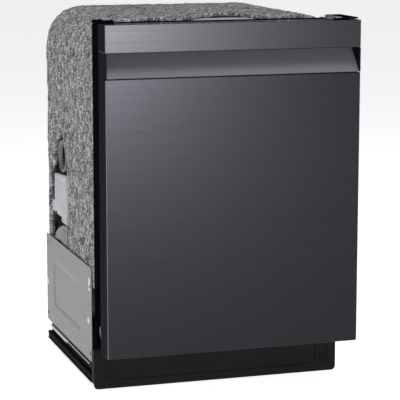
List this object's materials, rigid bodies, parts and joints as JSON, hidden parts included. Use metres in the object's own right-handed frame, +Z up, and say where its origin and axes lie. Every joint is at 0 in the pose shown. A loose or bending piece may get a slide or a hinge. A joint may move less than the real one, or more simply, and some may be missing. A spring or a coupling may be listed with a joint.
{
  "type": "built in dishwasher",
  "caption": "Built-in dishwasher with drop-down door, pocket handle, racks, spray arms, felt-wrapped tub, base pan and toe panel.",
  "frame": {"origin": "centre of the bounding box's base, on the floor", "axes": "+Z up, -Y towards the user (door face), +X to the user's right"},
  "size_m": [0.605, 0.629, 0.867],
  "materials": {
    "black_steel": "horizontal brushed black stainless, satin",
    "black_paint": "semi-gloss black paint",
    "black_plastic": "moulded, fine grain",
    "stainless": "bright drawn sheet",
    "galvanised": "zinc coated pressed sheet",
    "felt": "needled recycled-fibre felt",
    "white_plastic": "natural polypropylene",
    "grey_plastic": "moulded, satin",
    "rubber": "matt",
    "rack_nylon": "nylon dipped steel wire"
  },
  "bodies": {
    "cabinet": {"tub": "stainless", "door_gasket": "rubber", "frame_top_rail": "black_paint", "frame_post_left": "black_paint", "frame_post_right": "black_paint", "mount_bracket_left": "galvanised", "mount_bracket_right": "galvanised", "hinge_pin_left": "galvanised", "hinge_pin_right": "galvanised", "blanket_wrap": "felt", "air_break": "white_plastic", "vent_ring": "grey_plastic", "inlet_elbow": "white_plastic", "side_panel_left": "galvanised", "side_panel_right": "galvanised", "base_pan": "black_plastic", "leg_rod": "white_plastic", "toe_panel": "black_paint", "rear_brace": "galvanised", "inlet_valve": "white_plastic", "junction_box": "galvanised", "sump": "grey_plastic", "wash_motor": "black_plastic", "drain_pump": "grey_plastic", "filter_plate": "stainless", "feed_tube": "grey_plastic", "latch_strike": "stainless"},
    "door": {"door_outer_panel": "black_steel", "console_fascia": "black_steel", "handle_pocket": "black_plastic", "console_top": "black_plastic", "control_module": "white_plastic", "door_latch": "black_plastic", "door_insulation": "felt", "inner_liner": "stainless", "dispenser_body": "grey_plastic", "hinge_arm_left": "galvanised", "hinge_arm_right": "galvanised"},
    "filter_cup": {"filter_cup": "grey_plastic"},
    "float_dome": {"float_dome": "grey_plastic"},
    "lower_spray_arm": {"lower_spray_arm": "grey_plastic"},
    "top_spray_arm": {"top_spray_arm": "grey_plastic"},
    "middle_spray_arm": {"middle_spray_arm": "grey_plastic"},
    "foot_front_left": {"foot_front_left": "black_plastic"},
    "foot_front_right": {"foot_front_right": "black_plastic"},
    "foot_rear_left": {"foot_rear_left": "black_plastic"},
    "foot_rear_right": {"foot_rear_right": "black_plastic"},
    "rack_rail_left": {"rack_rail_left": "stainless"},
    "rack_rail_right": {"rack_rail_right": "stainless"},
    "lower_rack": {"lower_rack": "rack_nylon"},
    "upper_rack": {"upper_rack": "rack_nylon"},
    "third_rack": {"third_rack": "rack_nylon"},
    "tine_row": {"tine_row": "rack_nylon"},
    "silverware_basket": {"silverware_basket": "grey_plastic"},
    "button_power": {"button_power": "black_plastic"},
    "button_select": {"button_select": "black_plastic"},
    "button_start": {"button_start": "black_plastic"},
    "latch_pawl": {"latch_pawl": "stainless"},
    "dispenser_lid": {"dispenser_lid": "grey_plastic"},
    "rinse_cap": {"rinse_cap": "black_plastic"}
  },
  "joints": [
    {"name": "door_hinge", "type": "hinge", "parent": "cabinet", "child": "door", "pos_m": [0, -0.24, 0.125], "axis": [1, 0, 0], "range_deg": [0, 90]},
    {"name": "lower_rack_slide", "type": "slide", "parent": "cabinet", "child": "lower_rack", "axis": [0, -1, 0], "range_m": [0, 0.235]},
    {"name": "upper_rack_slide", "type": "slide", "parent": "cabinet", "child": "upper_rack", "axis": [0, -1, 0], "range_m": [0, 0.42]},
    {"name": "third_rack_slide", "type": "slide", "parent": "cabinet", "child": "third_rack", "axis": [0, -1, 0], "range_m": [0, 0.42]},
    {"name": "rail_left_slide", "type": "slide", "parent": "cabinet", "child": "rack_rail_left", "axis": [0, -1, 0], "range_m": [0, 0.215]},
    {"name": "rail_right_slide", "type": "slide", "parent": "cabinet", "child": "rack_rail_right", "axis": [0, -1, 0], "range_m": [0, 0.215]},
    {"name": "lower_arm_spin", "type": "hinge", "parent": "cabinet", "child": "lower_spray_arm", "pos_m": [0, 0.02, 0.195], "axis": [0, 0, 1], "continuous": true},
    {"name": "middle_arm_spin", "type": "hinge", "parent": "upper_rack", "child": "middle_spray_arm", "pos_m": [0, 0.02, 0.527], "axis": [0, 0, 1], "continuous": true},
    {"name": "top_arm_spin", "type": "hinge", "parent": "cabinet", "child": "top_spray_arm", "pos_m": [0, 0.02, 0.82], "axis": [0, 0, 1], "continuous": true},
    {"name": "filter_twist", "type": "hinge", "parent": "cabinet", "child": "filter_cup", "pos_m": [0.068, 0.062, 0.15], "axis": [0, 0, 1], "range_deg": [0, 90]},
    {"name": "float_lift", "type": "slide", "parent": "cabinet", "child": "float_dome", "axis": [0, 0, 1], "range_m": [0, 0.012]},
    {"name": "foot_front_left_screw", "type": "slide", "parent": "cabinet", "child": "foot_front_left", "axis": [0, 0, -1], "range_m": [0, 0.045]},
    {"name": "foot_front_right_screw", "type": "slide", "parent": "cabinet", "child": "foot_front_right", "axis": [0, 0, -1], "range_m": [0, 0.045]},
    {"name": "foot_rear_left_screw", "type": "slide", "parent": "cabinet", "child": "foot_rear_left", "axis": [0, 0, -1], "range_m": [0, 0.045]},
    {"name": "foot_rear_right_screw", "type": "slide", "parent": "cabinet", "child": "foot_rear_right", "axis": [0, 0, -1], "range_m": [0, 0.045]},
    {"name": "tine_fold", "type": "hinge", "parent": "lower_rack", "child": "tine_row", "pos_m": [0, 0.005, 0.234], "axis": [1, 0, 0], "range_deg": [0, 80]},
    {"name": "basket_lift", "type": "slide", "parent": "lower_rack", "child": "silverware_basket", "axis": [0, 0, 1], "range_m": [0, 0.16]},
    {"name": "button_power_press", "type": "slide", "parent": "door", "child": "button_power", "axis": [0, 0, -1], "range_m": [0, 0.0015], "stiffness_N_per_m": 300},
    {"name": "button_select_press", "type": "slide", "parent": "door", "child": "button_select", "axis": [0, 0, -1], "range_m": [0, 0.0015], "stiffness_N_per_m": 300},
    {"name": "button_start_press", "type": "slide", "parent": "door", "child": "button_start", "axis": [0, 0, -1], "range_m": [0, 0.0015], "stiffness_N_per_m": 300},
    {"name": "latch_pawl_press", "type": "slide", "parent": "door", "child": "latch_pawl", "axis": [0, 0, -1], "range_m": [0, 0.0008], "stiffness_N_per_m": 400},
    {"name": "dispenser_lid_slide", "type": "slide", "parent": "door", "child": "dispenser_lid", "axis": [-1, 0, 0], "range_m": [0, 0.084]},
    {"name": "rinse_cap_twist", "type": "hinge", "parent": "door", "child": "rinse_cap", "pos_m": [0.08, -0.228, 0.487], "axis": [0, 1, 0], "range_deg": [0, 90]}
  ],
  "couplings": [
    {"joint": "lower_rack_slide", "follows": "door_hinge", "m_per_rad": 0.147},
    {"joint": "upper_rack_slide", "follows": "door_hinge", "m_per_rad": 0.26},
    {"joint": "third_rack_slide", "follows": "door_hinge", "m_per_rad": 0.26},
    {"joint": "rail_left_slide", "follows": "door_hinge", "m_per_rad": 0.13},
    {"joint": "rail_right_slide", "follows": "door_hinge", "m_per_rad": 0.13}
  ]
}
